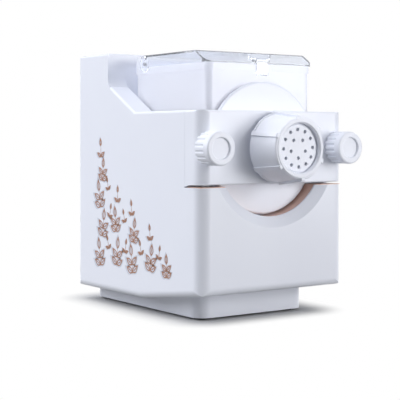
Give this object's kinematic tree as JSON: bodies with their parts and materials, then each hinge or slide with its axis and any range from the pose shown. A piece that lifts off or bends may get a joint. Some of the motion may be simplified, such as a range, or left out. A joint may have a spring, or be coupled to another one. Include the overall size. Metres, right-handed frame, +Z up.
{
  "type": "electric pasta maker",
  "caption": "Countertop electric pasta maker: white housing with rear tower, clear mixing bowl and lid, geared drive, screw extruder, die and ring nut",
  "frame": {"origin": "on the table, under the middle of the whole machine", "axes": "+X across the machine to the user's right, +Y from the nozzle to the back, +Z up"},
  "size_m": [0.2206, 0.3186, 0.3065],
  "materials": {
    "white_shell": "smooth white ABS with a soft gloss",
    "foot_rubber": "matt black rubber",
    "copper_trim": "orange brown moulded strip and seal",
    "display": "polished dark window",
    "circuit_board": "green board with parts",
    "plain_steel": "plain steel",
    "black_plastic": "matt black moulding",
    "motor_copper": "laminations and enamelled winding",
    "nylon": "off-white moulded nylon",
    "clear_plastic": "clear polycarbonate",
    "grey_plastic": "satin grey moulding"
  },
  "bodies": {
    "root": {"housing": "white_shell", "rear_cover": "white_shell", "base_tray": "white_shell", "feet": "foot_rubber", "copper_trim": "copper_trim", "control_panel": "white_shell", "display_window": "display", "panel_board": "circuit_board", "gearbox_front_plate": "plain_steel", "gearbox_rear_plate": "plain_steel", "gearbox_posts": "plain_steel", "gear_pins": "plain_steel", "output_bearings": "plain_steel", "output_seal": "foot_rubber", "tie_rods": "plain_steel", "motor_case": "plain_steel", "motor_end_bell": "black_plastic", "motor_screws": "plain_steel", "power_board": "circuit_board", "power_inlet": "black_plastic", "base_screws": "plain_steel", "cover_screws": "plain_steel"},
    "rotor": {"motor_rotor": "motor_copper", "motor_pinion": "plain_steel", "motor_fan": "black_plastic"},
    "first_gear": {"first_gear": "nylon"},
    "second_gear": {"second_gear": "nylon"},
    "output_drive": {"output_gear": "nylon", "output_shaft": "plain_steel"},
    "bowl": {"bowl": "clear_plastic", "hinge_pins": "plain_steel", "bowl_bush": "grey_plastic"},
    "lid": {"lid": "clear_plastic", "latch_pin": "plain_steel"},
    "lid_latch": {"lid_latch": "clear_plastic"},
    "mixer": {"mixer_shaft": "plain_steel", "mixing_paddle": "nylon", "auger": "nylon"},
    "front_panel": {"front_plate": "white_shell", "front_beam": "white_shell", "front_seal": "copper_trim", "die": "white_shell"},
    "die_nut": {"die_nut": "white_shell"},
    "left_thumb_nut": {"left_thumb_nut": "white_shell"},
    "right_thumb_nut": {"right_thumb_nut": "white_shell"},
    "power_button": {"power_button": "grey_plastic"},
    "program_button": {"program_button": "grey_plastic"},
    "time_button": {"time_button": "grey_plastic"},
    "start_button": {"start_button": "grey_plastic"}
  },
  "joints": [
    {"name": "output_spin", "type": "hinge", "parent": "root", "child": "output_drive", "pos_m": [0, 0.09985, 0.1925], "axis": [0, 1, 0], "continuous": true},
    {"name": "second_gear_spin", "type": "hinge", "parent": "root", "child": "second_gear", "pos_m": [0, 0.09985, 0.146], "axis": [0, 1, 0], "continuous": true},
    {"name": "first_gear_spin", "type": "hinge", "parent": "root", "child": "first_gear", "pos_m": [0, 0.09985, 0.10475], "axis": [0, 1, 0], "continuous": true},
    {"name": "motor_spin", "type": "hinge", "parent": "root", "child": "rotor", "pos_m": [0, 0.05985, 0.06875], "axis": [0, 1, 0], "continuous": true},
    {"name": "bowl_slide", "type": "slide", "parent": "root", "child": "bowl", "axis": [0, -1, 0], "range_m": [0, 0.06]},
    {"name": "mixer_spin", "type": "hinge", "parent": "bowl", "child": "mixer", "pos_m": [0, 0.06335, 0.1925], "axis": [0, 1, 0], "continuous": true},
    {"name": "lid_hinge", "type": "hinge", "parent": "bowl", "child": "lid", "pos_m": [0, 0.03735, 0.2915], "axis": [-1, 0, 0], "range_deg": [0, 95]},
    {"name": "latch_hinge", "type": "hinge", "parent": "lid", "child": "lid_latch", "pos_m": [0, -0.08865, 0.2914], "axis": [-1, 0, 0], "range_deg": [0, 35]},
    {"name": "panel_slide", "type": "slide", "parent": "bowl", "child": "front_panel", "axis": [0, -1, 0], "range_m": [0, 0.06]},
    {"name": "die_nut_turn", "type": "hinge", "parent": "front_panel", "child": "die_nut", "pos_m": [0, -0.13465, 0.1925], "axis": [0, 1, 0], "range_deg": [0, 360]},
    {"name": "left_thumb_turn", "type": "hinge", "parent": "front_panel", "child": "left_thumb_nut", "pos_m": [-0.0917, -0.12665, 0.1925], "axis": [0, 1, 0], "range_deg": [0, 360]},
    {"name": "right_thumb_turn", "type": "hinge", "parent": "front_panel", "child": "right_thumb_nut", "pos_m": [0.0917, -0.12665, 0.1925], "axis": [0, 1, 0], "range_deg": [0, 360]},
    {"name": "power_press", "type": "slide", "parent": "root", "child": "power_button", "axis": [0, 0, -1], "range_m": [0, 0.001], "stiffness_N_per_m": 400},
    {"name": "program_press", "type": "slide", "parent": "root", "child": "program_button", "axis": [0, 0, -1], "range_m": [0, 0.001], "stiffness_N_per_m": 400},
    {"name": "time_press", "type": "slide", "parent": "root", "child": "time_button", "axis": [0, 0, -1], "range_m": [0, 0.001], "stiffness_N_per_m": 400},
    {"name": "start_press", "type": "slide", "parent": "root", "child": "start_button", "axis": [0, 0, -1], "range_m": [0, 0.001], "stiffness_N_per_m": 400}
  ],
  "couplings": [
    {"joint": "second_gear_spin", "follows": "output_spin", "ratio": -2.875},
    {"joint": "first_gear_spin", "follows": "output_spin", "ratio": 8.9844},
    {"joint": "motor_spin", "follows": "output_spin", "ratio": -31.445},
    {"joint": "mixer_spin", "follows": "output_spin", "ratio": 1}
  ]
}
